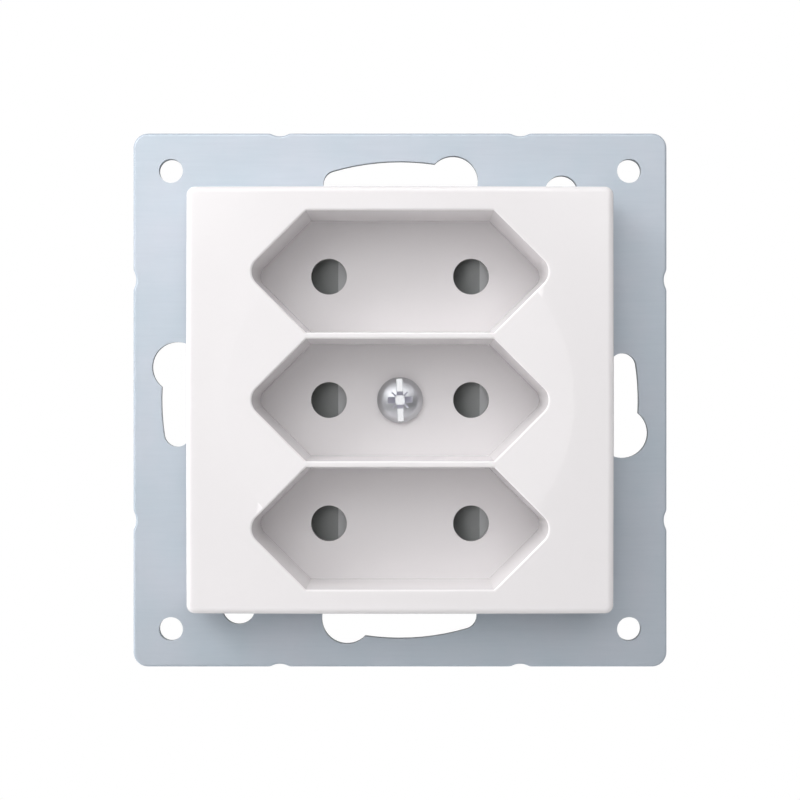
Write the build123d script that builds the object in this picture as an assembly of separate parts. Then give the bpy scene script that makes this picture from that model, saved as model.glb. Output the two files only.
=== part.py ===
from build123d import *
import os
from math import cos, hypot, radians, sin, sqrt

# Triple flush socket for a round wall box. Millimetres. X runs to the right, Z up, and the face
# looks along -Y. The origin is the centre of the mounting frame's back, which lies on the wall.

# Mounting frame: one punched sheet of zinc-plated steel
plate_thickness = 1.5
plate_margin = 2.15
plate_corner_radius = 1.95
plate_edge_radius = 0.3
corner_hole_inset = 5.0
corner_hole_radius = 1.6
notch_offset = 16.0
notch_depth = 0.36
notch_radius = 2.4
notch_mouth_radius = 1.2
small_hole_radius = 2.2
small_hole_x = 21.5
small_hole_z = 27.7
window_clearance = 0.2
window_tab_radius = 1.0

# Bayonet slots for the box screws, on a circle about the centre
box_screw_pitch = 60.0
slot_width = 3.6
keyhole_radius = 3.35
tall_slot_keyhole_angle = 76.4
tall_slot_end_angle = 106.3
side_slot_keyhole_angle = -8.4
side_slot_end_angle = 8.5

# Cover: one moulding with three wells
cover_size = 55.0
cover_height = 10.2
cover_lift = 1.7
cover_corner_radius = 1.1
cover_edge_radius = 0.8
cover_face_wall = 2.0
cover_side_wall = 1.5
flat_circle_radius = 22.4
crown_radius = 700.0
foot_radius = 1.75
foot_inset_x = 2.6
foot_inset_z = 4.4
rib_thickness = 1.0
rib_height = 4.5

# Wells, their rims and the holes in their floors
well_pitch = 16.5
well_height = 15.7
well_length = 38.1
well_depth = 11.5
well_draft = 0.46
well_tip_radius = 2.1
well_rim_radius = 0.25
well_wall = 0.9
well_outer_corner_radius = 3.0
well_floor = 1.4
cut_overrun = 0.5
pin_pitch = 19.0
pin_hole_radius = 2.4

# Cover screw with a slot across its recess, and the square nut that it turns in
screw_head_radius = 3.0
screw_head_height = 1.75
screw_head_rim = 0.45
screw_radius = 1.45
screw_length = 12.0
screw_tip_chamfer = 0.36
screw_hole_clearance = 0.2
screw_slot_width = 0.78
screw_slot_depth = 0.75
screw_slot_tilt = 2.0
recess_arm_length = 3.1
recess_arm_width = 0.75
recess_depth = 1.2
nut_width = 5.5
nut_thickness = 2.4
nut_clearance = 0.1
thread_gap = 0.05

# Shutters: three alike, each with two ramps, pushed to the left by a spring
shutter_travel = 5.1
shutter_thickness = 2.7
shutter_half_height = 3.2
shutter_gap = 0.15
ramp_crest = 1.2
ramp_toe_thickness = 0.4
hole_cover_margin = 0.1
gate_half_height = 2.7
gate_margin = 0.2
spring_length = 10.3
spring_radius = 1.0
spring_wire_radius = 0.15
spring_pitch = 1.45
spring_slot_height = 2.6
spring_slot_wall = 0.6
spring_post_x = 1.0
spring_post_thickness = 1.2
shutter_edge_wall = 0.8

# Shutter housing behind the frame, with the tracks and the deck that the pins pass
housing_radius = 28.0
housing_depth = 5.8
housing_edge_radius = 0.5
keyhole_clearance = 0.3
deck_hole_radius = 2.6
nut_boss_wall = 1.2
nut_boss_rim = 0.4
nut_floor = 0.8

# Contact base: a cup that holds the live parts
base_wall = 1.5
base_room = 0.5
base_depth = 22.6
base_back_wall = 1.6
base_edge_radius = 1.0
base_collar_step = 0.8
base_collar_depth = 2.2
partition_gap = 0.7
partition_thickness = 1.2
pillar_radius = 2.2
screw_port_radius = 3.0
wire_port_width = 4.8
wire_port_height = 5.0
wire_port_corner = 0.6
wire_port_flare = 0.5
wire_port_gap = 0.2
guide_thickness = 1.0
guide_tab_gap = 1.1
guide_lead = 1.0
guide_gap = 0.15
bar_pad_width = 3.0
bar_pad_margin = 0.4

# Contacts and the two bars that join them
contact_thickness = 0.5
contact_width = 5.2
contact_gap = 3.8
contact_half_width = 3.0
contact_deck_gap = 1.8
contact_lead_in = 3.4
contact_grip_length = 3.5
contact_bend_radius = 0.8
bar_thickness = 0.8
bar_corner_radius = 1.0
bar_bend_radius = 0.7
bar_width = 5.0
bar_end_margin = 2.7
bar_pad_height = 0.6
tab_width = 4.4
stud_radius = 0.9
stud_head = 0.3
stud_clearance = 0.05

# Terminals: a box clamp on each tab, closed by a screw from the side
tab_offset = 2.6
clamp_wall = 0.9
clamp_depth = 6.0
clamp_bar_gap = 1.6
clamp_space = 4.9
clamp_half_height = 2.4
terminal_screw_radius = 1.65
terminal_screw_length = 4.4
terminal_head_radius = 2.6
terminal_head_height = 1.9
terminal_screw_reach = 1.7
terminal_slot_width = 0.8
terminal_slot_depth = 0.8

# Rivets that hold the frame to the housing, and screws that hold the base to it
rivet_x = 17.5
rivet_radius = 1.2
rivet_head_radius = 2.2
rivet_head_height = 0.8
rivet_head_round = 0.4
rivet_tail_radius = 1.9
rivet_tail_height = 0.7
rivet_clearance = 0.05
base_screw_places = [(0, 10.0), (0, -6.5)]
base_screw_radius = 1.1
base_screw_grip = 3.4
base_screw_head_radius = 2.1
base_screw_head_height = 1.0
base_screw_recess = 0.5
base_screw_clearance = 0.1

# Smallest length that the selections below tell apart
tolerance = 0.01

# Depths along Y that the pieces share
plate_front = -plate_thickness
face_front = plate_front - cover_height
cover_back = plate_front - cover_lift
face_back = face_front + cover_face_wall
floor_front = face_front + well_depth
floor_back = floor_front + well_floor
shutter_front = floor_back + shutter_gap
shutter_back = shutter_front + shutter_thickness
deck_front = shutter_back + shutter_gap
base_back_inside = base_depth - base_back_wall
bar_back = base_back_inside - bar_pad_height
bar_front = bar_back - bar_thickness
contact_mouth = housing_depth + contact_deck_gap
contact_pinch = contact_mouth + contact_lead_in
contact_shoulder = contact_pinch + contact_grip_length
clamp_middle = bar_front - clamp_bar_gap - clamp_depth / 2
guide_front = clamp_middle - clamp_depth / 2 - guide_lead
base_screw_tip = housing_depth - base_screw_grip

# Places across the face that the pieces share
slot_reach = box_screw_pitch / 2
plate_size = 2 * (slot_reach + keyhole_radius + plate_margin)
pin_x = pin_pitch / 2
between_wells = well_pitch / 2
rivet_hole_radius = rivet_radius + rivet_clearance
hollow = cover_size - 2 * cover_side_wall
foot_x = hollow / 2 - foot_inset_x
foot_z = hollow / 2 - foot_inset_z
partition_x = pin_x - contact_half_width - partition_gap - partition_thickness
tab_x = pin_x + tab_offset
guide_left = tab_x + bar_thickness + guide_tab_gap
terminal_screw_tip = tab_x + clamp_space - terminal_screw_reach
clip_reach = hypot(pin_x + contact_half_width + contact_thickness / 2, well_pitch + contact_width / 2)
base_radius = clip_reach + base_room + base_wall
well_places = {"top": well_pitch, "middle": 0.0, "bottom": -well_pitch}
draft_slope = well_draft / well_depth
tip_sharpness = sqrt(2) - 1
keyhole_angles = [tall_slot_keyhole_angle, side_slot_keyhole_angle]
keyhole_angles += [angle + 180 for angle in keyhole_angles]
quarter_signs = [(1, 1), (1, -1), (-1, 1), (-1, -1)]
shutter_left = -pin_x - pin_hole_radius - hole_cover_margin
shutter_right = pin_x + pin_hole_radius + gate_margin
gate_width = 2 * (pin_hole_radius + gate_margin)
spring_slot_bottom = gate_half_height + spring_slot_wall
spring_slot_top = spring_slot_bottom + spring_slot_height
spring_z = (spring_slot_bottom + spring_slot_top) / 2
spring_slot_left = spring_post_x - spring_length
spring_slot_right = spring_post_x + spring_post_thickness + shutter_gap
spring_bay_top = spring_slot_top + shutter_edge_wall
spring_bay_left = spring_slot_left - shutter_edge_wall
spring_bay_right = spring_slot_right + shutter_edge_wall


def slab(sketch, front, back):
    """A sketch drawn in X and Z, made solid between two depths along Y."""
    return extrude(Plane.XZ.offset(-back) * sketch, amount=back - front)


def block(left, right, low, high, front, back):
    """A box between three pairs of limits."""
    outline = Pos((left + right) / 2, (low + high) / 2) * Rectangle(right - left, high - low)
    return slab(outline, front, back)


def profile(points, low, high):
    """A polygon in X and Y, made solid between two heights along Z."""
    return extrude(Plane.XY.offset(low) * make_face(Polyline(*points, close=True)), amount=high - low)


def rod(y, z, radius, left, right):
    """A round bar along X."""
    return extrude(Plane.YZ.offset(left) * Pos(y, z) * Circle(radius), amount=right - left)


def disc(x, z, radius, front, back):
    """A round bar along Y."""
    return slab(Pos(x, z) * Circle(radius), front, back)


def polar(radius, angle):
    """A point in X and Z, with the angle in degrees from +X towards +Z."""
    return radius * cos(radians(angle)), radius * sin(radians(angle))


def well_outline(grow, corner_radius=0):
    """A well's hexagon with 45 degree sides and rounded tips, grown all round."""
    half = well_height / 2 + grow
    tip = well_length / 2 + well_tip_radius * tip_sharpness + grow * sqrt(2)
    shoulder = tip - half
    corners = [(-tip, 0), (-shoulder, half), (shoulder, half),
               (tip, 0), (shoulder, -half), (-shoulder, -half)]
    outline = make_face(Polyline(*corners, close=True))
    ordered = outline.vertices().sort_by(Axis.X)
    outline = fillet([ordered[0], ordered[-1]], well_tip_radius + grow)
    if corner_radius:
        shoulders = [v for v in outline.vertices() if abs(abs(v.Y) - half) < tolerance]
        outline = fillet(shoulders, corner_radius)
    return outline


def well_section(depth, wall=0, corner_radius=0):
    """The well's outline at a depth along Y, where the draft has narrowed it."""
    grow = wall - draft_slope * (depth - face_front)
    return Plane.XZ.offset(-depth) * well_outline(grow, corner_radius)


def window(front, back):
    """The opening that all three wells pass through, in the frame and in the housing."""
    grow = well_wall + window_clearance - draft_slope * (plate_front - face_front)
    outline = well_outline(grow, well_outer_corner_radius)
    wells = [slab(Pos(0, z) * outline, front, back) for z in well_places.values()]
    opening = wells[0] + wells[1] + wells[2]
    waists = [e for e in opening.edges().filter_by(Axis.Y)
              if abs(abs(e.center().Z) - between_wells) < tolerance]
    return fillet(waists, window_tab_radius)


def keyhole_slot(keyhole_angle, end_angle):
    """A slot along the screw circle with a wider round end for the screw head."""
    start = polar(slot_reach, keyhole_angle)
    end = polar(slot_reach, end_angle)
    middle = polar(slot_reach, (keyhole_angle + end_angle) / 2)
    slot = SlotArc(ThreePointArc(start, middle, end), slot_width)
    return slot + Pos(*start) * Circle(keyhole_radius)


def mounting_frame():
    outline = RectangleRounded(plate_size, plate_size, plate_corner_radius)
    reach = plate_size / 2 - notch_depth + notch_radius
    for turn in range(4):
        for side in (-notch_offset, notch_offset):
            outline -= Rot(0, 0, 90 * turn) * Pos(side, reach) * Circle(notch_radius)
    edge = plate_size / 2 - tolerance
    mouths = [v for v in outline.vertices()
              if max(abs(v.X), abs(v.Y)) > edge and min(abs(v.X), abs(v.Y)) < notch_offset + notch_radius]
    outline = fillet(mouths, notch_mouth_radius)
    plate = slab(outline, plate_front, 0)
    rim = plate.edges().group_by(Axis.Y)[0]
    plate = fillet(rim, plate_edge_radius)
    corner_hole = plate_size / 2 - corner_hole_inset
    for x_sign, z_sign in quarter_signs:
        plate -= disc(x_sign * corner_hole, z_sign * corner_hole, corner_hole_radius, plate_front, 0)
        plate -= disc(x_sign * rivet_x, z_sign * between_wells, rivet_hole_radius, plate_front, 0)
    for half_turn in (0, 180):
        openings = [keyhole_slot(tall_slot_keyhole_angle, tall_slot_end_angle),
                    keyhole_slot(side_slot_keyhole_angle, side_slot_end_angle),
                    Pos(small_hole_x, small_hole_z) * Circle(small_hole_radius)]
        for opening in openings:
            plate -= slab(Rot(0, 0, half_turn) * opening, plate_front, 0)
    return plate - window(plate_front, 0)


def well_rims(shell):
    """The edges where the wells meet the face, without the edge of the flat circle."""
    widest = cover_size / 2 - cover_edge_radius - cover_corner_radius
    front_edges = [e for e in shell.edges() if e.center().Y < face_front + well_rim_radius * 2
                   and max(abs(e.center().X), abs(e.center().Z)) < widest]
    return [e for e in front_edges
            if e.geom_type != GeomType.CIRCLE or abs(e.radius - flat_circle_radius) > tolerance]


def cover():
    shell = slab(RectangleRounded(cover_size, cover_size, cover_corner_radius), face_front, cover_back)
    crown_centre = face_front + sqrt(crown_radius**2 - flat_circle_radius**2)
    shell = shell & Pos(0, crown_centre, 0) * Rot(90, 0, 0) * Sphere(crown_radius)
    outer_edges = [e for e in shell.edges() if e.center().Y < cover_back - cover_height / 2
                   and max(abs(e.center().X), abs(e.center().Z)) > cover_size / 2 - cover_corner_radius]
    shell = fillet(outer_edges, cover_edge_radius)
    shell -= slab(Rectangle(hollow, hollow), face_back, cover_back)
    for x_sign, z_sign in quarter_signs:
        shell += disc(x_sign * foot_x, z_sign * foot_z, foot_radius, face_back, plate_front)
    for z in well_places.values():
        shell += block(-hollow / 2, hollow / 2, z - rib_thickness / 2, z + rib_thickness / 2,
                       face_back, face_back + rib_height)
    for z in well_places.values():
        sections = [well_section(depth, well_wall, well_outer_corner_radius)
                    for depth in (face_back - cut_overrun, floor_back)]
        shell += Pos(0, 0, z) * loft(sections, ruled=True)
    for z in well_places.values():
        sections = [well_section(depth) for depth in (face_front - cut_overrun, floor_front)]
        shell -= Pos(0, 0, z) * loft(sections, ruled=True)
    shell = fillet(well_rims(shell), well_rim_radius)
    for z in well_places.values():
        for x in (-pin_x, pin_x):
            shell -= disc(x, z, pin_hole_radius, floor_front, floor_back)
    return shell - disc(0, 0, screw_radius + screw_hole_clearance, floor_front, floor_back)


def cover_screw():
    head_front = floor_front - screw_head_height
    dome_height = screw_head_height - screw_head_rim
    dome_radius = (screw_head_radius**2 + dome_height**2) / (2 * dome_height)
    head = disc(0, 0, screw_head_radius, head_front, floor_front)
    head = head & Pos(0, head_front + dome_radius, 0) * Sphere(dome_radius)
    head -= slab(Rot(0, 0, screw_slot_tilt) * Rectangle(screw_slot_width, 2 * screw_head_radius),
                 head_front, head_front + screw_slot_depth)
    cross = Rectangle(recess_arm_length, recess_arm_width) + Rectangle(recess_arm_width, recess_arm_length)
    head -= slab(Rot(0, 0, screw_slot_tilt) * cross, head_front, head_front + recess_depth)
    shank = disc(0, 0, screw_radius, floor_front, floor_front + screw_length)
    shank = chamfer(shank.edges().group_by(Axis.Y)[-1], screw_tip_chamfer)
    return head + shank


def cover_nut():
    front = housing_depth + nut_floor
    nut = slab(Rectangle(nut_width, nut_width), front, front + nut_thickness)
    return nut - disc(0, 0, screw_radius + thread_gap, front, front + nut_thickness)


def shutter(z):
    """A flat slide with a ramp behind each pin hole, a gate for the right pin and two slots."""
    slide = block(shutter_left, shutter_right, -shutter_half_height, shutter_half_height,
                  shutter_front, shutter_back)
    slide += block(spring_bay_left, spring_bay_right, -shutter_half_height, spring_bay_top,
                   shutter_front, shutter_back)
    for x in (-pin_x, pin_x):
        toe = x - pin_hole_radius - hole_cover_margin
        ramp = [(toe, shutter_front), (x + ramp_crest, shutter_front),
                (toe, shutter_back - ramp_toe_thickness)]
        slide -= profile(ramp, -gate_half_height, gate_half_height)
    gate_right = pin_x - pin_hole_radius - hole_cover_margin
    gate_left = gate_right - gate_width
    slide -= block(gate_left, gate_right, -gate_half_height, gate_half_height, shutter_front, shutter_back)
    slot_half = screw_radius + screw_hole_clearance
    slide -= block(-shutter_travel - slot_half, gate_left, -slot_half, slot_half,
                   shutter_front, shutter_back)
    slide -= block(spring_slot_left, spring_slot_right, spring_slot_bottom, spring_slot_top,
                   shutter_front, shutter_back)
    return Pos(0, 0, z) * slide


def shutter_spring(z):
    start = spring_slot_left + spring_wire_radius
    middle_depth = (shutter_front + shutter_back) / 2
    coil = Helix(spring_pitch, spring_length - 2 * spring_wire_radius, spring_radius,
                 center=(start, middle_depth, z + spring_z), direction=(1, 0, 0))
    return sweep(Plane(origin=coil @ 0, z_dir=coil % 0) * Circle(spring_wire_radius), path=coil)


def shutter_housing():
    body = disc(0, 0, housing_radius, 0, housing_depth)
    body = fillet(body.edges().group_by(Axis.Y)[-1], housing_edge_radius)
    for angle in keyhole_angles:
        body -= disc(*polar(slot_reach, angle), keyhole_radius + keyhole_clearance, 0, housing_depth)
    body -= window(0, floor_back)
    nut_half = nut_width / 2 + nut_clearance
    boss_half = nut_half + nut_boss_wall
    nut_front = housing_depth + nut_floor
    boss_back = nut_front + nut_thickness + nut_boss_rim
    body += block(-boss_half, boss_half, -boss_half, boss_half, housing_depth, boss_back)
    body -= block(-nut_half, nut_half, -nut_half, nut_half, nut_front, boss_back)
    for z in well_places.values():
        track_half = shutter_half_height + shutter_gap
        right_stop = shutter_right + shutter_travel + shutter_gap
        body -= block(shutter_left - shutter_gap, right_stop, z - track_half, z + track_half,
                      floor_back, deck_front)
        body -= block(spring_bay_left - shutter_gap, spring_bay_right + shutter_travel + shutter_gap,
                      z - track_half, z + spring_bay_top + shutter_gap, floor_back, deck_front)
        post_low = z + spring_slot_bottom + shutter_gap
        post_high = z + spring_slot_top - shutter_gap
        body += block(spring_post_x, spring_post_x + spring_post_thickness, post_low, post_high,
                      shutter_front, deck_front)
        for x in (-pin_x, pin_x):
            body -= disc(x, z, deck_hole_radius, deck_front, housing_depth)
    body -= disc(0, 0, screw_radius + screw_hole_clearance, deck_front, nut_front)
    for x_sign, z_sign in quarter_signs:
        body -= disc(x_sign * rivet_x, z_sign * between_wells, rivet_hole_radius, 0, housing_depth)
    for x, z in base_screw_places:
        body -= disc(x, z, base_screw_radius + thread_gap, base_screw_tip, housing_depth)
    return body


def contact_base():
    cup = disc(0, 0, base_radius, housing_depth, base_depth)
    cup = fillet(cup.edges().group_by(Axis.Y)[-1], base_edge_radius)
    cup += disc(0, 0, base_radius + base_collar_step, housing_depth, housing_depth + base_collar_depth)
    cup -= disc(0, 0, base_radius - base_wall, housing_depth, base_back_inside)
    reach = base_radius - base_wall / 2
    guide_half = clamp_half_height + clamp_wall + guide_gap
    pad_left = pin_x - bar_pad_width / 2
    port_left = tab_x + bar_thickness + wire_port_gap
    port_x = port_left + wire_port_width / 2
    walls = []
    for side in (-1, 1):
        inner, outer = sorted((side * partition_x, side * (partition_x + partition_thickness)))
        walls.append(block(inner, outer, -reach, reach, housing_depth, base_back_inside))
        for z_sign in (-1, 1):
            for edge in (-guide_half - guide_thickness, guide_half):
                low = z_sign * between_wells + edge
                left, right = sorted((side * guide_left, side * reach))
                walls.append(block(left, right, low, low + guide_thickness, guide_front, base_back_inside))
    fence = disc(0, 0, reach, housing_depth, base_back_inside)
    for wall in walls:
        cup += wall & fence
    for side in (-1, 1):
        for z_sign in (-1, 1):
            low, high = sorted((z_sign * (stud_radius + stud_clearance + bar_pad_margin),
                                z_sign * (well_pitch - stud_radius - stud_clearance - bar_pad_margin)))
            left, right = sorted((side * pad_left, side * (pad_left + bar_pad_width)))
            cup += block(left, right, low, high, bar_back, base_back_inside)
            port = Pos(side * port_x, z_sign * between_wells) * RectangleRounded(
                wire_port_width, wire_port_height, wire_port_corner)
            cup -= slab(port, base_back_inside, base_depth)
            mouth = Pos(side * port_x, z_sign * between_wells) * RectangleRounded(
                wire_port_width + 2 * wire_port_flare, wire_port_height + 2 * wire_port_flare,
                wire_port_corner + wire_port_flare)
            cup -= loft([Plane.XZ.offset(-base_depth) * mouth,
                         Plane.XZ.offset(wire_port_flare - base_depth) * port], ruled=True)
            near, far = sorted((side * (base_radius - 2 * screw_port_radius), side * base_radius))
            cup -= rod(clamp_middle, z_sign * between_wells, screw_port_radius, near, far)
    for x, z in base_screw_places:
        cup += disc(x, z, pillar_radius, housing_depth, base_back_inside)
        cup -= disc(x, z, base_screw_radius + base_screw_clearance, housing_depth, base_depth)
        cup -= disc(x, z, base_screw_head_radius + base_screw_clearance,
                    base_depth - base_screw_head_height, base_depth)
    return cup


def pin_contact(z):
    """A spring clip folded from one strip, staked to the bar behind it."""
    web = bar_front - contact_thickness / 2
    leaf = contact_half_width - contact_thickness / 2
    pinch = (contact_gap + contact_thickness) / 2
    half_path = [(contact_half_width, contact_mouth), (pinch, contact_pinch),
                 (leaf, contact_shoulder), (leaf, web)]
    path = [(-x, y) for x, y in half_path] + half_path[::-1]
    strip = trace(FilletPolyline(*path, radius=contact_bend_radius), line_width=contact_thickness)
    clip = extrude(Plane.XY.offset(-contact_width / 2) * strip, amount=contact_width)
    clip += disc(0, 0, stud_radius, bar_front, bar_back + stud_head)
    return Pos(pin_x, 0, z) * clip


def contact_bar():
    """A flat strip behind the three contacts, with two arms folded forward into the clamps."""
    half_length = well_pitch + bar_end_margin
    strip = Pos(pin_x, 0) * RectangleRounded(bar_width, 2 * half_length, bar_corner_radius)
    bar = slab(strip, bar_front, bar_back)
    tab_right = tab_x + bar_thickness
    tab_front = clamp_middle - clamp_depth / 2 - bar_thickness
    for z_sign in (-1, 1):
        low = z_sign * between_wells - tab_width / 2
        high = low + tab_width
        arm = block(pin_x, tab_right, low, high, bar_front, bar_back)
        arm += block(tab_x, tab_right, low, high, tab_front, bar_back)
        bend = arm.edges().filter_by(Axis.Z).sort_by(lambda e: e.center().X + e.center().Y)[-1]
        bar += fillet(bend, bar_bend_radius)
    for z in well_places.values():
        bar -= disc(pin_x, z, stud_radius + stud_clearance, bar_front, bar_back)
    return bar


def terminal_clamp(z):
    front = clamp_middle - clamp_depth / 2
    back = clamp_middle + clamp_depth / 2
    right = tab_x + clamp_space
    outer_half = clamp_half_height + clamp_wall
    clamp = block(tab_x - clamp_wall, right + clamp_wall, -outer_half, outer_half, front, back)
    clamp = fillet(clamp.edges().filter_by(Axis.Y), clamp_wall / 2)
    clamp -= block(tab_x, right, -clamp_half_height, clamp_half_height, front, back)
    clamp -= rod(clamp_middle, 0, terminal_screw_radius + thread_gap, right, right + clamp_wall)
    return Pos(0, 0, z) * clamp


def terminal_screw(z):
    head_left = terminal_screw_tip + terminal_screw_length
    head_right = head_left + terminal_head_height
    screw = rod(clamp_middle, 0, terminal_screw_radius, terminal_screw_tip, head_left)
    screw += rod(clamp_middle, 0, terminal_head_radius, head_left, head_right)
    slot_half = terminal_slot_width / 2
    screw -= block(head_right - terminal_slot_depth, head_right, -slot_half, slot_half,
                   clamp_middle - terminal_head_radius, clamp_middle + terminal_head_radius)
    return Pos(0, 0, z) * screw


def frame_rivets():
    head_front = plate_front - rivet_head_height
    head = disc(0, 0, rivet_head_radius, head_front, plate_front)
    head = fillet(head.edges().group_by(Axis.Y)[0], rivet_head_round)
    rivet = head + disc(0, 0, rivet_radius, plate_front, housing_depth)
    rivet += disc(0, 0, rivet_tail_radius, housing_depth, housing_depth + rivet_tail_height)
    return [Pos(x_sign * rivet_x, 0, z_sign * between_wells) * rivet for x_sign, z_sign in quarter_signs]


def base_screws():
    head_front = base_depth - base_screw_head_height
    screw = disc(0, 0, base_screw_radius, base_screw_tip, head_front)
    screw += disc(0, 0, base_screw_head_radius, head_front, base_depth)
    cross = Rectangle(recess_arm_length, recess_arm_width) + Rectangle(recess_arm_width, recess_arm_length)
    screw -= slab(cross, base_depth - base_screw_recess, base_depth)
    return [Pos(x, 0, z) * screw for x, z in base_screw_places]


def both_poles(name, piece):
    """The line piece on the right and its mirror image, the neutral piece, on the left."""
    return {f"line_{name}": piece, f"neutral_{name}": mirror(piece, about=Plane.YZ)}


def all_parts():
    parts = {
        "cover": cover(),
        "cover_screw": cover_screw(),
        "cover_nut": cover_nut(),
        "mounting_frame": mounting_frame(),
        "shutter_housing": shutter_housing(),
        "contact_base": contact_base(),
    }
    for place, z in well_places.items():
        parts[f"shutter_{place}"] = shutter(z)
        parts[f"shutter_spring_{place}"] = shutter_spring(z)
        parts |= both_poles(f"contact_{place}", pin_contact(z))
    parts |= both_poles("bar", contact_bar())
    for place, z_sign in (("upper", 1), ("lower", -1)):
        parts |= both_poles(f"clamp_{place}", terminal_clamp(z_sign * between_wells))
        parts |= both_poles(f"screw_{place}", terminal_screw(z_sign * between_wells))
    parts["frame_rivets"] = Compound(frame_rivets())
    parts["base_screws"] = Compound(base_screws())
    return parts


def main():
    os.makedirs("parts", exist_ok=True)
    for name, piece in all_parts().items():
        export_step(piece, f"parts/{name}.step")
        print(f"{name}: {piece.volume:.1f} mm3")


if __name__ == "__main__":
    main()
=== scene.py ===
import bpy
import bmesh
from math import cos, pi, radians, sin
from mathutils import Matrix, Vector


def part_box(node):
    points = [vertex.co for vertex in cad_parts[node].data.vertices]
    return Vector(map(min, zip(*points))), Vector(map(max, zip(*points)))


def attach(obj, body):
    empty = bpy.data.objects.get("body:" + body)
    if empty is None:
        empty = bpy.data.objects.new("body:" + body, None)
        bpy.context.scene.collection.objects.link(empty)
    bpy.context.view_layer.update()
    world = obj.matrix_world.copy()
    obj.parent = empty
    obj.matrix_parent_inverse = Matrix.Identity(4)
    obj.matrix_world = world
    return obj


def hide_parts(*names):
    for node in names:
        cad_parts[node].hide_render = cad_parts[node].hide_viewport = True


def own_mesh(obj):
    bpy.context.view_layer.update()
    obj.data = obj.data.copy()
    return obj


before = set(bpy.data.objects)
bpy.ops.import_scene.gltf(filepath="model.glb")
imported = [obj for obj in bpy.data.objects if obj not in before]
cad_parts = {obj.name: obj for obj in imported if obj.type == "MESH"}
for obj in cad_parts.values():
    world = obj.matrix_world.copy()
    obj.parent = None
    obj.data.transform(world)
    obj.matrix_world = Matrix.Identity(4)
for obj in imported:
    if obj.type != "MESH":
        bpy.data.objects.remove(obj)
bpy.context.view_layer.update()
scene = bpy.context.scene

# The camera looks straight at the face, level with the middle of the socket and 264 mm from it, through
# a long lens. Its distance follows from how much smaller the steel frame looks than the cover.
mm = 0.001
face_y = -11.7 * mm
camera_distance = 264 * mm
eye = bpy.data.cameras.new("eye")
eye.lens = 92.7
eye.sensor_width = 36.0
eye.clip_start = 10 * mm
camera = bpy.data.objects.new("camera", eye)
camera.location = (0, face_y - camera_distance, 0)
camera.rotation_euler = (radians(90), 0, 0)
scene.collection.objects.link(camera)
scene.camera = camera


# A plain pale floor lies below the socket, which is drawn as held in the air. It is a round sheet of
# matt board with a faint paper tooth, small enough to stay out of the photograph's view.
def linear(code):
    """An sRGB hex colour as the linear values that a shader takes."""
    parts = [int(code[i:i + 2], 16) / 255 for i in (0, 2, 4)]
    return [p / 12.92 if p <= 0.04045 else ((p + 0.055) / 1.055) ** 2.4 for p in parts] + [1.0]


def add(tree, kind, inputs=None, **settings):
    """Adds a shader node with its settings, and fills its inputs with values or links."""
    made = tree.nodes.new(kind)
    for name, value in settings.items():
        setattr(made, name, value)
    for name, value in (inputs or {}).items():
        if isinstance(value, bpy.types.NodeSocket):
            tree.links.new(value, made.inputs[name])
        else:
            made.inputs[name].default_value = value
    return made


def new_material(name, metallic, roughness):
    """An empty material with its surface shader, and where on the object each point lies."""
    material = bpy.data.materials.new(name)
    material.use_nodes = True
    tree = material.node_tree
    shader = tree.nodes["Principled BSDF"]
    shader.inputs["Metallic"].default_value = metallic
    shader.inputs["Roughness"].default_value = roughness
    return material, tree, shader, add(tree, "ShaderNodeTexCoord").outputs["Object"]


floor_radius = 320 * mm
floor_drop = 150 * mm
board_tooth = 0.6 * mm
floor_mesh = bpy.data.meshes.new("floor")
shape = bmesh.new()
bmesh.ops.create_circle(shape, cap_ends=True, segments=96, radius=floor_radius)
shape.to_mesh(floor_mesh)
shape.free()
floor = bpy.data.objects.new("floor", floor_mesh)
floor.location = (0, 0, -floor_drop)
scene.collection.objects.link(floor)
board, tree, shader, place = new_material("matt_board", 0.0, 0.9)
tooth = add(tree, "ShaderNodeTexNoise", {"Vector": place, "Scale": 1 / board_tooth, "Detail": 2.0})
shade = add(tree, "ShaderNodeMix", {0: tooth.outputs["Fac"], 6: linear("DDDDDC"), 7: linear("E1E1E0")},
            data_type="RGBA")
tree.links.new(shade.outputs[2], shader.inputs["Base Color"])
floor_mesh.materials.append(board)

# Soft studio light: round softboxes stand about the socket, strong from the left and above, weak from
# the right, in a dim room with a lit white backdrop behind. One more stands behind and lights the back.
softbox_reach = 620 * mm
softbox_size = 340 * mm
front_softbox_size = 220 * mm
room_glow = 0.02
backdrop_glow = 0.5
backdrop_full = 0.2
scene.view_settings.view_transform = "Standard"
room = bpy.data.worlds.new("white_room")
room.use_nodes = True
scene.world = room
tree = room.node_tree
tree.nodes.clear()
seen = add(tree, "ShaderNodeBackground", {"Color": linear("FFFFFF"), "Strength": 1.0})
direction = add(tree, "ShaderNodeTexCoord").outputs["Generated"]
backwards = add(tree, "ShaderNodeSeparateXYZ", {0: direction}).outputs["Y"]
glow = add(tree, "ShaderNodeMapRange", {"Value": backwards, "From Min": 0.0, "From Max": backdrop_full,
                                        "To Min": room_glow, "To Max": backdrop_glow})
lit = add(tree, "ShaderNodeBackground", {"Color": linear("F2F1F6"), "Strength": glow.outputs[0]})
ray = add(tree, "ShaderNodeLightPath")
both = add(tree, "ShaderNodeMixShader", {0: ray.outputs["Is Camera Ray"], 1: lit.outputs[0],
                                         2: seen.outputs[0]})
add(tree, "ShaderNodeOutputWorld", {"Surface": both.outputs[0]})

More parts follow.
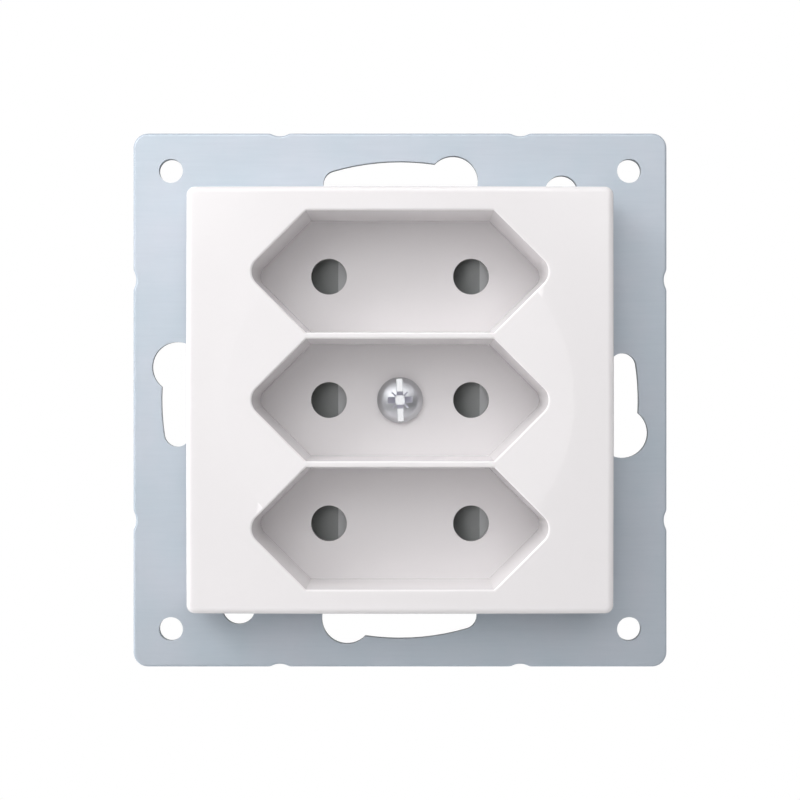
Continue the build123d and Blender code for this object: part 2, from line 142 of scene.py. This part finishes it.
# Each softbox has its angle from the camera's line, its place round it from the right, and its power.
for name, off_line, around, watts in (("left", 85, 180, 2.2), ("right", 85, 0, 0.32),
                                      ("upper_left", 60, 135, 1.97), ("top", 60, 90, 0.78),
                                      ("upper_right", 60, 45, 0.45), ("lower_right", 60, 315, 0.4),
                                      ("front_left", 30, 135, 0.62), ("front_side", 34, 175, 0.24),
                                      ("front_top", 30, 90, 0.44), ("front_right", 30, 45, 0.42),
                                      ("front", 3, 135, 0.12), ("behind", 135, 120, 0.8)):
    lamp = bpy.data.lights.new(name, "AREA")
    lamp.shape = "DISK"
    lamp.size = front_softbox_size if name == "front" else softbox_size
    lamp.energy = watts
    tilt, turn = radians(off_line), radians(around)
    towards = Vector((sin(tilt) * cos(turn), -cos(tilt), sin(tilt) * sin(turn)))
    softbox = bpy.data.objects.new(name, lamp)
    softbox.location = towards * softbox_reach
    softbox.rotation_euler = (-towards).to_track_quat("-Z", "Y").to_euler()
    softbox.visible_camera = False
    scene.collection.objects.link(softbox)


# The mounting frame is one sheet of cold-rolled steel, punched from the front, then zinc plated and
# passivated blue. The plating is slightly clouded, with a satin sheen and faint lines from the rolls,
# and the punch has left a bright band on the walls of the holes and a torn, duller one behind it.
def dress(material, *nodes):
    """Puts a material on CAD nodes."""
    for name in nodes:
        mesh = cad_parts[name].data
        mesh.materials.clear()
        mesh.materials.append(material)


cloud_width = 9 * mm
roll_line = 0.35 * mm
roll_stretch = 0.06
plating_grain = 0.2 * mm
grain_relief = 0.003 * mm
burnished_to = -1.0 * mm
torn_from = -0.8 * mm
rim_roughness = 0.85
# Flatness is 1 where a surface lies flat to the face and 0 on a hole's wall. As it falls, first the rim
# fades in where it rounds over, and then the wall.
rim_from, rim_full = 0.98, 0.85
wall_from, wall_full = 0.35, 0.2
zinc_sheet, tree, shader, place = new_material("blue_passivated_zinc_sheet", 0.85, 0.45)
cloud = add(tree, "ShaderNodeTexNoise", {"Vector": place, "Scale": 1 / cloud_width, "Detail": 4.0})
tint = add(tree, "ShaderNodeMix", {0: cloud.outputs["Fac"], 6: linear("BAC8D1"), 7: linear("CCCFD8")},
           data_type="RGBA")
along = add(tree, "ShaderNodeMapping", {"Vector": place, "Scale": (roll_stretch, 1, 1)})
lines = add(tree, "ShaderNodeTexNoise", {"Vector": along.outputs[0], "Scale": 1 / roll_line,
                                         "Detail": 3.0})
grain = add(tree, "ShaderNodeTexNoise", {"Vector": place, "Scale": 1 / plating_grain, "Detail": 2.0})
depth = add(tree, "ShaderNodeSeparateXYZ", {0: place}).outputs["Y"]
normal = add(tree, "ShaderNodeNewGeometry").outputs["Normal"]
facing = add(tree, "ShaderNodeSeparateXYZ", {0: normal}).outputs["Y"]
flatness = add(tree, "ShaderNodeMath", {0: facing}, operation="ABSOLUTE")
wall = add(tree, "ShaderNodeMapRange", {"Value": flatness.outputs[0], "From Min": wall_from,
                                        "From Max": wall_full})
torn = add(tree, "ShaderNodeMapRange", {"Value": depth, "From Min": burnished_to,
                                        "From Max": torn_from})
cut = add(tree, "ShaderNodeMix", {0: torn.outputs[0], 6: linear("CDD3DA"), 7: linear("9A9FA3")},
          data_type="RGBA")
skin = add(tree, "ShaderNodeMix", {0: wall.outputs[0], 6: tint.outputs[2], 7: cut.outputs[2]},
           data_type="RGBA")
tree.links.new(skin.outputs[2], shader.inputs["Base Color"])
sheen = add(tree, "ShaderNodeMapRange", {"Value": lines.outputs["Fac"], "From Min": 0.3,
                                         "From Max": 0.7, "To Min": 0.5, "To Max": 0.58})
rolled_over = add(tree, "ShaderNodeMapRange", {"Value": flatness.outputs[0], "From Min": rim_from,
                                               "From Max": rim_full})
dulled = add(tree, "ShaderNodeMix", {0: rolled_over.outputs[0], 2: sheen.outputs[0], 3: rim_roughness})
tree.links.new(dulled.outputs[0], shader.inputs["Roughness"])
bump = add(tree, "ShaderNodeBump", {"Height": grain.outputs["Fac"], "Distance": grain_relief,
                                    "Strength": 1.0})
tree.links.new(bump.outputs[0], shader.inputs["Normal"])
dress(zinc_sheet, "mounting_frame")

# The housing and the contact base are moulded in glass-filled polyamide, the shutters in acetal. Their
# moulds are spark eroded, which leaves a fine satin grain, and the glass shows as faint swirls.
swirl_width = 5 * mm
swirl_twist = 1.2
mould_grain = 0.14 * mm
mould_relief = 0.006 * mm
for finish, pale, deep, dull, nodes in (
        ("satin_grey_polyamide", "D4D4D1", "CACAC7", 0.46, ["shutter_housing"]),
        ("satin_pale_polyamide", "BBBBB7", "B2B2AE", 0.48, ["contact_base"]),
        ("satin_dark_acetal", "9A9D9C", "8E9191", 0.38,
         ["shutter_top", "shutter_middle", "shutter_bottom"])):
    plastic, tree, shader, place = new_material(finish, 0.0, dull)
    swirl = add(tree, "ShaderNodeTexNoise", {"Vector": place, "Scale": 1 / swirl_width, "Detail": 5.0,
                                             "Distortion": swirl_twist})
    tint = add(tree, "ShaderNodeMix", {0: swirl.outputs["Fac"], 6: linear(pale), 7: linear(deep)},
               data_type="RGBA")
    tree.links.new(tint.outputs[2], shader.inputs["Base Color"])
    grain = add(tree, "ShaderNodeTexNoise", {"Vector": place, "Scale": 1 / mould_grain, "Detail": 2.0})
    sheen = add(tree, "ShaderNodeMapRange", {"Value": grain.outputs["Fac"], "From Min": 0.3,
                                             "From Max": 0.7, "To Min": dull - 0.04,
                                             "To Max": dull + 0.05})
    tree.links.new(sheen.outputs[0], shader.inputs["Roughness"])
    bump = add(tree, "ShaderNodeBump", {"Height": grain.outputs["Fac"], "Distance": mould_relief,
                                        "Strength": 1.0})
    tree.links.new(bump.outputs[0], shader.inputs["Normal"])
    dress(plastic, *nodes)

# On the last of them, the shutters', the flat crests beside the ramps are painted paler as painted
# light, because the crests face the front squarely, and the ramps don't.
crest_from, crest_full = -0.9, -0.99
normal = add(tree, "ShaderNodeNewGeometry").outputs["Normal"]
facing = add(tree, "ShaderNodeSeparateXYZ", {0: normal}).outputs["Y"]
crest = add(tree, "ShaderNodeMapRange", {"Value": facing, "From Min": crest_from,
                                         "From Max": crest_full})
# Painted light: crests that face the front get a paler colour than the ramps.
crest_painted_light = add(tree, "ShaderNodeMix", {0: crest.outputs[0], 6: tint.outputs[2], 7: linear("B4B6B7")},
             data_type="RGBA")
tree.links.new(crest_painted_light.outputs[2], shader.inputs["Base Color"])


# Each shutter is closed by a coil spring of hard-drawn steel wire, wound with dead turns at each end.
# One end sits against a post of the housing, the other in the shutter's slot. Here each spring is drawn
# at its full length and rides with the socket, so it doesn't shorten as the shutter slides.
def through(points, radius):
    """A round wire along a line through the points, as a mesh."""
    line = bpy.data.curves.new("line", "CURVE")
    line.dimensions = "3D"
    line.bevel_depth = radius
    line.bevel_resolution = 3
    line.use_fill_caps = True
    spline = line.splines.new("POLY")
    spline.points.add(len(points) - 1)
    for point, at in zip(spline.points, points):
        point.co = (*at, 1)
    carrier = bpy.data.objects.new("carrier", line)
    mesh = bpy.data.meshes.new_from_object(carrier)
    bpy.data.objects.remove(carrier)
    return mesh


well_pitch = 16.5 * mm
spring_left = -9.3 * mm
spring_right = 1.0 * mm
spring_rise = 4.6 * mm
spring_depth = 2.7 * mm
wire_radius = 0.15 * mm
coil_radius = 1.0 * mm
dead_turns = 1.5
dead_pitch = 2.1 * wire_radius
open_turns = 5.5
open_pitch = (spring_right - spring_left - 2 * wire_radius - 2 * dead_turns * dead_pitch) / open_turns
turns = 2 * dead_turns + open_turns
steps_per_turn = 28
die_line = 0.05 * mm

drawn_wire, tree, shader, place = new_material("hard_drawn_spring_wire", 1.0, 0.24)
streak = add(tree, "ShaderNodeTexNoise", {"Vector": place, "Scale": 1 / die_line, "Detail": 2.0})
tint = add(tree, "ShaderNodeMix", {0: streak.outputs["Fac"], 6: linear("C2C2C5"), 7: linear("A6A6AA")},
           data_type="RGBA")
tree.links.new(tint.outputs[2], shader.inputs["Base Color"])
sheen = add(tree, "ShaderNodeMapRange", {"Value": streak.outputs["Fac"], "To Min": 0.16,
                                         "To Max": 0.36})
tree.links.new(sheen.outputs[0], shader.inputs["Roughness"])

for at, middle in (("top", well_pitch), ("middle", 0.0), ("bottom", -well_pitch)):
    points = []
    for step in range(round(turns * steps_per_turn) + 1):
        turn = step / steps_per_turn
        along = spring_left + wire_radius + min(turn, dead_turns) * dead_pitch
        along += min(max(turn - dead_turns, 0), open_turns) * open_pitch
        along += max(turn - dead_turns - open_turns, 0) * dead_pitch
        points.append((along, spring_depth + coil_radius * cos(2 * pi * turn),
                       middle + spring_rise + coil_radius * sin(2 * pi * turn)))
    spring = bpy.data.objects.new(f"coil_spring_{at}", through(points, wire_radius))
    scene.collection.objects.link(spring)
    spring.data.materials.append(drawn_wire)
    spring.data.shade_smooth()
    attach(spring, "socket")
    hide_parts(f"shutter_spring_{at}")
    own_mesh(spring)

# The bars and the nut are cut from rolled brass, and the pin clips are folded from tin bronze strip.
# Both keep the lines of the rolls, lie a little uneven in colour where they have begun to tarnish, and
# reflect softly.
tarnish_width = 3 * mm
strip_line = 0.12 * mm
strip_stretch = 0.05
strip_relief = 0.002 * mm
poles = ("line", "neutral")
for finish, fresh, dulled, nodes in (
        ("rolled_brass", "E0C078", "C9A65A", ["line_bar", "neutral_bar", "cover_nut"]),
        ("rolled_tin_bronze", "D29C72", "B98058",
         [f"{pole}_contact_{at}" for pole in poles for at in ("top", "middle", "bottom")])):
    metal, tree, shader, place = new_material(finish, 1.0, 0.3)
    tarnish = add(tree, "ShaderNodeTexNoise", {"Vector": place, "Scale": 1 / tarnish_width,
                                               "Detail": 4.0})
    tint = add(tree, "ShaderNodeMix", {0: tarnish.outputs["Fac"], 6: linear(fresh), 7: linear(dulled)},
               data_type="RGBA")
    tree.links.new(tint.outputs[2], shader.inputs["Base Color"])
    along = add(tree, "ShaderNodeMapping", {"Vector": place, "Scale": (1, 1, strip_stretch)})
    lines = add(tree, "ShaderNodeTexNoise", {"Vector": along.outputs[0], "Scale": 1 / strip_line,
                                             "Detail": 2.0})
    sheen = add(tree, "ShaderNodeMapRange", {"Value": lines.outputs["Fac"], "To Min": 0.22,
                                             "To Max": 0.4})
    tree.links.new(sheen.outputs[0], shader.inputs["Roughness"])
    bump = add(tree, "ShaderNodeBump", {"Height": lines.outputs["Fac"], "Distance": strip_relief,
                                        "Strength": 1.0})
    tree.links.new(bump.outputs[0], shader.inputs["Normal"])
    dress(metal, *nodes)

# Clamps, rivets and screws are zinc plated steel. Barrel plating leaves them bright, faintly blue and
# straw in patches, and fine knocks from the barrel soften the shine. Where a punch has formed a recess,
# its walls are duller.
rows = ("upper", "lower")
patch_width = 1.8 * mm
knock_width = 0.1 * mm
knock_relief = 0.003 * mm
bright_zinc, tree, shader, place = new_material("barrel_plated_zinc", 1.0, 0.34)
patch = add(tree, "ShaderNodeTexNoise", {"Vector": place, "Scale": 1 / patch_width, "Detail": 3.0})
tint = add(tree, "ShaderNodeMix", {0: patch.outputs["Fac"], 6: linear("DDE4EC"), 7: linear("E9E7E0")},
           data_type="RGBA")
tree.links.new(tint.outputs[2], shader.inputs["Base Color"])
knocks = add(tree, "ShaderNodeTexNoise", {"Vector": place, "Scale": 1 / knock_width, "Detail": 2.0})
sheen = add(tree, "ShaderNodeMapRange", {"Value": patch.outputs["Fac"], "From Min": 0.3,
                                         "From Max": 0.7, "To Min": 0.3, "To Max": 0.4})
tree.links.new(sheen.outputs[0], shader.inputs["Roughness"])
bump = add(tree, "ShaderNodeBump", {"Height": knocks.outputs["Fac"], "Distance": knock_relief,
                                    "Strength": 1.0})
tree.links.new(bump.outputs[0], shader.inputs["Normal"])
dress(bright_zinc, "frame_rivets", *[f"{pole}_clamp_{row}" for pole in poles for row in rows])
punched_zinc, tree, shader, place = new_material("punched_zinc", 0.45, 0.6)
patch = add(tree, "ShaderNodeTexNoise", {"Vector": place, "Scale": 1 / knock_width, "Detail": 2.0})
tint = add(tree, "ShaderNodeMix", {0: patch.outputs["Fac"], 6: linear("E2E2EA"), 7: linear("D4D4DD")},
           data_type="RGBA")
tree.links.new(tint.outputs[2], shader.inputs["Base Color"])


# The terminal screws are cold-headed from steel, with a flat cheese head, a sawn slot and a rolled
# metric thread. Each closes the clamp round its bar's tab, and a screwdriver reaches it through a port
# in the base's side.
def turned_screw(name, crown_radius, slope_end, slope_drop, head_radius, head_height, shank_radius,
                 shank_length, pitch):
    """A screw along +Z with the top of its crown at 0, a sloping edge, and its threaded shank below."""
    sides = 64
    crown_steps = 12
    steps_per_pitch = 8
    thread_depth = 0.55 * pitch
    point_taper = 0.25
    shoulder = 1.02
    outline = []
    for step in range(crown_steps + 1):
        reach = slope_end * step / crown_steps
        outline.append((reach, (crown_radius ** 2 - reach ** 2) ** 0.5 - crown_radius, 0))
    outline.append((head_radius, outline[-1][1] - slope_drop, 0))
    outline.append((head_radius, -head_height, 0))
    outline.append((shank_radius * shoulder, -head_height, 0))
    count = round(shank_length / pitch * steps_per_pitch)
    for step in range(count + 1):
        below = shank_length * step / count
        left = (shank_length - below) / pitch
        fade = min(1.0, below / pitch, left)
        outline.append((shank_radius * (1 - point_taper * max(0.0, 1 - left)), -head_height - below,
                        thread_depth * fade))
    shape = bmesh.new()
    rings = []
    for radius, level, cut in outline:
        if radius == 0:
            rings.append([shape.verts.new((0, 0, level))])
            continue
        ring = []
        for side in range(sides):
            turn = side / sides
            phase = (level / pitch - turn) % 1
            reach = radius - cut * (1 - abs(2 * phase - 1))
            across, up = reach * cos(2 * pi * turn), reach * sin(2 * pi * turn)
            ring.append(shape.verts.new((across, up, level)))
        rings.append(ring)
    for upper, lower in zip(rings, rings[1:]):
        for side in range(sides):
            after = (side + 1) % sides
            if len(upper) == 1:
                shape.faces.new((upper[0], lower[side], lower[after]))
            else:
                shape.faces.new((upper[side], lower[side], lower[after], upper[after]))
    shape.faces.new(rings[-1][::-1])
    bmesh.ops.recalc_face_normals(shape, faces=shape.faces)
    mesh = bpy.data.meshes.new(name)
    shape.to_mesh(mesh)
    shape.free()
    mesh.materials.append(bright_zinc)
    mesh.materials.append(punched_zinc)
    screw = bpy.data.objects.new(name, mesh)
    scene.collection.objects.link(screw)
    return screw


def cut_drive(screw, softening, *slots):
    """Cuts slots of a turn, mouth, floor and depth, the tapered ones punched, and softens all edges."""
    above = 0.4 * mm
    cutters = []
    for turn, mouth, bottom, depth in slots:
        shape = bmesh.new()
        corners = []
        grow = above / depth
        top = [m + (m - b) * grow for m, b in zip(mouth, bottom)]
        for level, (length, width) in ((above, top), (-depth, bottom)):
            corners.append([shape.verts.new((x * length / 2, y * width / 2, level))
                            for x, y in ((-1, -1), (1, -1), (1, 1), (-1, 1))])
        shape.faces.new(corners[0])
        shape.faces.new(corners[1][::-1])
        for corner in range(4):
            after = (corner + 1) % 4
            side = shape.faces.new((corners[0][corner], corners[1][corner], corners[1][after],
                                    corners[0][after]))
            side.material_index = int(mouth != bottom)
        bmesh.ops.recalc_face_normals(shape, faces=shape.faces)
        bmesh.ops.rotate(shape, verts=shape.verts, matrix=Matrix.Rotation(radians(turn), 3, "Z"))
        mesh = bpy.data.meshes.new("cutter")
        shape.to_mesh(mesh)
        shape.free()
        mesh.materials.append(bright_zinc)
        mesh.materials.append(punched_zinc)
        cutter = bpy.data.objects.new("cutter", mesh)
        scene.collection.objects.link(cutter)
        cutters.append(cutter)
        cut = screw.modifiers.new("drive", "BOOLEAN")
        cut.operation = "DIFFERENCE"
        cut.object = cutter
        cut.solver = "EXACT"
    soft = screw.modifiers.new("soft", "BEVEL")
    soft.width = softening
    soft.segments = 1
    soft.limit_method = "ANGLE"
    soft.angle_limit = radians(40)
    bpy.context.view_layer.update()
    graph = bpy.context.evaluated_depsgraph_get()
    finished = bpy.data.meshes.new_from_object(screw.evaluated_get(graph))
    screw.modifiers.clear()
    screw.data = finished
    for cutter in cutters:
        bpy.data.objects.remove(cutter)


def drive_home(screw, at, towards, *nodes):
    """Puts a finished screw with its crown at a point and its head facing a way, for CAD nodes."""
    turn = Vector(towards).to_track_quat("Z", "Y").to_matrix().to_4x4()
    screw.data.transform(Matrix.Translation(at) @ turn)
    screw.data.shade_smooth()
    screw.data.set_sharp_from_angle(angle=radians(19))
    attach(screw, "socket")
    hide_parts(*nodes)


sawn_slot = (6.0 * mm, 0.8 * mm)
for pole, side in (("line", 1), ("neutral", -1)):
    for row in rows:
        low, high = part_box(f"{pole}_screw_{row}")
        screw = turned_screw(f"cheese_head_screw_{pole}_{row}", crown_radius=60 * mm,
                             slope_end=2.3 * mm, slope_drop=0.3 * mm, head_radius=2.6 * mm,
                             head_height=1.9 * mm, shank_radius=1.65 * mm, shank_length=4.4 * mm,
                             pitch=0.7 * mm)
        cut_drive(screw, 0.04 * mm, (25, sawn_slot, sawn_slot, 0.8 * mm))
        outer = high.x if side > 0 else low.x
        drive_home(screw, (outer, (low.y + high.y) / 2, (low.z + high.z) / 2), (side, 0, 0),
                   f"{pole}_screw_{row}")

# Two long self-tapping screws of the same steel hold the base to the housing. They have a punched cross
# recess and are driven in from behind, with their heads sunk in the base's back.
base_head_radius = 2.1 * mm
cross_mouth, cross_floor, cross_depth = (2.7 * mm, 0.7 * mm), (0.9 * mm, 0.5 * mm), 1.2 * mm
low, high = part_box("base_screws")
for row, middle in (("upper", high.z - base_head_radius), ("lower", low.z + base_head_radius)):
    screw = turned_screw(f"self_tapping_screw_{row}", crown_radius=4.2 * mm, slope_end=1.8 * mm,
                         slope_drop=0.3 * mm, head_radius=base_head_radius, head_height=1.0 * mm,
                         shank_radius=1.1 * mm, shank_length=19.2 * mm, pitch=1.0 * mm)
    cut_drive(screw, 0.03 * mm, (20, cross_mouth, cross_floor, cross_depth),
              (110, cross_mouth, cross_floor, cross_depth))
    drive_home(screw, (0, high.y, middle), (0, 1, 0), "base_screws")

# The cover is one injection-moulded shell of glossy white thermoplastic. Up close, its polished skin
# has a faint orange peel, and it is nearly even in tone.
flow_width = 14 * mm
peel_width = 1.4 * mm
peel_relief = 0.002 * mm
gloss, tree, shader, place = new_material("glossy_white_thermoplastic", 0.0, 0.15)
shader.inputs["IOR"].default_value = 1.53
flow = add(tree, "ShaderNodeTexNoise", {"Vector": place, "Scale": 1 / flow_width, "Detail": 2.0})
tint = add(tree, "ShaderNodeMix", {0: flow.outputs["Fac"], 6: linear("E9E6E7"), 7: linear("E7E4E5")},
           data_type="RGBA")
tree.links.new(tint.outputs[2], shader.inputs["Base Color"])
peel = add(tree, "ShaderNodeTexNoise", {"Vector": place, "Scale": 1 / peel_width, "Detail": 1.0})
sheen = add(tree, "ShaderNodeMapRange", {"Value": flow.outputs["Fac"], "To Min": 0.12, "To Max": 0.18})
tree.links.new(sheen.outputs[0], shader.inputs["Roughness"])
bump = add(tree, "ShaderNodeBump", {"Height": peel.outputs["Fac"], "Distance": peel_relief,
                                    "Strength": 1.0})
tree.links.new(bump.outputs[0], shader.inputs["Normal"])
dress(gloss, "cover")

# The cover screw has a low crown with a sloping edge. Either driver fits it: a slot runs across a cross
# recess whose corners carry the four small marks of its kind. Its flats, which face the front, are
# painted near white as a painted highlight and are smoother, and its sloping edge is painted darker as
# painted shade.
driver_slot, slot_depth = (6.4 * mm, 0.78 * mm), 0.88 * mm
cross_mouth, cross_floor, cross_depth = (3.7 * mm, 0.84 * mm), (1.24 * mm, 0.8 * mm), 1.52 * mm
mark_mouth, mark_floor, mark_depth = (3.9 * mm, 0.22 * mm), (1.5 * mm, 0.2 * mm), 0.5 * mm
screw_turn = radians(2)
flat_from, flat_full = 0.993, 0.9995
edge_from, edge_full = 0.91, 0.8
low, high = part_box("cover_screw")
screw = turned_screw("crown_headed_screw", crown_radius=5.8 * mm, slope_end=2.5 * mm,
                     slope_drop=0.5 * mm, head_radius=3.05 * mm, head_height=1.75 * mm,
                     shank_radius=1.45 * mm, shank_length=12.0 * mm, pitch=0.5 * mm)
cut_drive(screw, 0.02 * mm, (90, driver_slot, driver_slot, slot_depth),
          (0, cross_mouth, cross_floor, cross_depth), (90, cross_mouth, cross_floor, cross_depth),
          (45, mark_mouth, mark_floor, mark_depth), (135, mark_mouth, mark_floor, mark_depth))
screw.data.transform(Matrix.Rotation(screw_turn, 4, "Z"))
drive_home(screw, (0, low.y, 0), (0, -1, 0), "cover_screw")
screw_zinc_with_painted_light, tree, shader, place = new_material("barrel_plated_zinc_with_painted_light", 1.0, 0.3)
normal = add(tree, "ShaderNodeNewGeometry").outputs["Normal"]
facing = add(tree, "ShaderNodeSeparateXYZ", {0: normal}).outputs["Y"]
flatness = add(tree, "ShaderNodeMath", {0: facing}, operation="ABSOLUTE")
flat = add(tree, "ShaderNodeMapRange", {"Value": flatness.outputs[0], "From Min": flat_from,
                                        "From Max": flat_full})
patch = add(tree, "ShaderNodeTexNoise", {"Vector": place, "Scale": 1 / patch_width, "Detail": 3.0})
worn = add(tree, "ShaderNodeMix", {0: patch.outputs["Fac"], 6: linear("CED3D5"), 7: linear("D7D6DC")},
           data_type="RGBA")
edge = add(tree, "ShaderNodeMapRange", {"Value": flatness.outputs[0], "From Min": edge_from,
                                        "From Max": edge_full})
# Painted shade: the sloping edge of the head is coloured darker than the dome.
dome_with_painted_edge_shade = add(tree, "ShaderNodeMix", {0: edge.outputs[0], 6: worn.outputs[2], 7: linear("C6C8CA")},
           data_type="RGBA")
# Painted highlight: the flats that face the front are coloured near white.
tint = add(tree, "ShaderNodeMix", {0: flat.outputs[0], 6: dome_with_painted_edge_shade.outputs[2], 7: linear("FCFDFF")},
           data_type="RGBA")
tree.links.new(tint.outputs[2], shader.inputs["Base Color"])
sheen = add(tree, "ShaderNodeMapRange", {"Value": flat.outputs[0], "To Min": 0.38, "To Max": 0.2})
tree.links.new(sheen.outputs[0], shader.inputs["Roughness"])
screw.data.materials[0] = screw_zinc_with_painted_light
